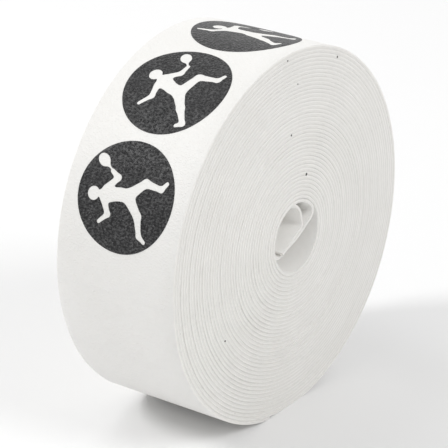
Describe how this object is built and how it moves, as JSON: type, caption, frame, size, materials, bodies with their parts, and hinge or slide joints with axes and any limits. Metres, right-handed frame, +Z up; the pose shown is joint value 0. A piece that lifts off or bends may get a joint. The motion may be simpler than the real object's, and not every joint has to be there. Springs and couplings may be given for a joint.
{
  "type": "grip tape roll",
  "caption": "Coreless spiral roll of white racket grip tape with round black prints, a free outer end that peels off and an inner end looped across the eye.",
  "frame": {"origin": "under the middle of the roll's bounding box, on the surface that the roll stands on", "axes": "+Z up; the roll's axis, and the tape's width, along Y, with the end face that shows the looped inner end facing -Y; the outer free end lies at the bottom on the -X side"},
  "size_m": [0.0684, 0.025, 0.068],
  "materials": {
    "tape": "matte, fine leather grain",
    "ink": "satin print over leather grain"
  },
  "bodies": {
    "outer_turns": {"coil_6_outer": "tape", "print_1": "ink", "print_2": "ink", "print_3": "ink", "print_4": "ink", "print_5": "ink", "print_6": "ink"},
    "turns_5": {"coil_5": "tape"},
    "turns_4": {"coil_4": "tape"},
    "turns_3": {"coil_3": "tape"},
    "turns_2": {"coil_2": "tape"},
    "core_turns": {"coil_1_core": "tape"},
    "inner_end": {"inner_end": "tape"},
    "free_end_1": {"free_end_1": "tape"},
    "free_end_2": {"free_end_2": "tape"},
    "free_end_3": {"free_end_3": "tape"},
    "free_end_4": {"free_end_4": "tape"}
  },
  "joints": [
    {"name": "coil_slip", "type": "slide", "parent": "outer_turns", "child": "turns_5", "axis": [0, -1, 0], "range_m": [-0.0008, 0.0008]},
    {"name": "coil_slip_4", "type": "slide", "parent": "turns_5", "child": "turns_4", "axis": [0, -1, 0], "range_m": [-0.0008, 0.0008]},
    {"name": "coil_slip_3", "type": "slide", "parent": "turns_4", "child": "turns_3", "axis": [0, -1, 0], "range_m": [-0.0008, 0.0008]},
    {"name": "coil_slip_2", "type": "slide", "parent": "turns_3", "child": "turns_2", "axis": [0, -1, 0], "range_m": [-0.0008, 0.0008]},
    {"name": "coil_slip_core", "type": "slide", "parent": "turns_2", "child": "core_turns", "axis": [0, -1, 0], "range_m": [-0.0008, 0.0008]},
    {"name": "inner_end_pull", "type": "slide", "parent": "core_turns", "child": "inner_end", "axis": [0, -1, 0], "range_m": [-0.003, 0.006]},
    {"name": "free_end_peel", "type": "hinge", "parent": "outer_turns", "child": "free_end_1", "pos_m": [-0.03387, 0, 0.03842], "axis": [0, 1, 0], "range_deg": [0, 60]},
    {"name": "free_end_uncurl_2", "type": "hinge", "parent": "free_end_1", "child": "free_end_2", "pos_m": [-0.0332, 0, 0.02535], "axis": [0, 1, 0], "range_deg": [0, 18]},
    {"name": "free_end_uncurl_3", "type": "hinge", "parent": "free_end_2", "child": "free_end_3", "pos_m": [-0.02771, 0, 0.01346], "axis": [0, 1, 0], "range_deg": [0, 18]},
    {"name": "free_end_uncurl_4", "type": "hinge", "parent": "free_end_3", "child": "free_end_4", "pos_m": [-0.01818, 0, 0.00448], "axis": [0, 1, 0], "range_deg": [0, 18]}
  ],
  "couplings": [
    {"joint": "coil_slip_4", "follows": "coil_slip", "ratio": 1},
    {"joint": "coil_slip_3", "follows": "coil_slip", "ratio": 1},
    {"joint": "coil_slip_2", "follows": "coil_slip", "ratio": 1},
    {"joint": "coil_slip_core", "follows": "coil_slip", "ratio": 1},
    {"joint": "free_end_uncurl_2", "follows": "free_end_peel", "ratio": 0.3},
    {"joint": "free_end_uncurl_3", "follows": "free_end_peel", "ratio": 0.3},
    {"joint": "free_end_uncurl_4", "follows": "free_end_peel", "ratio": 0.3}
  ]
}
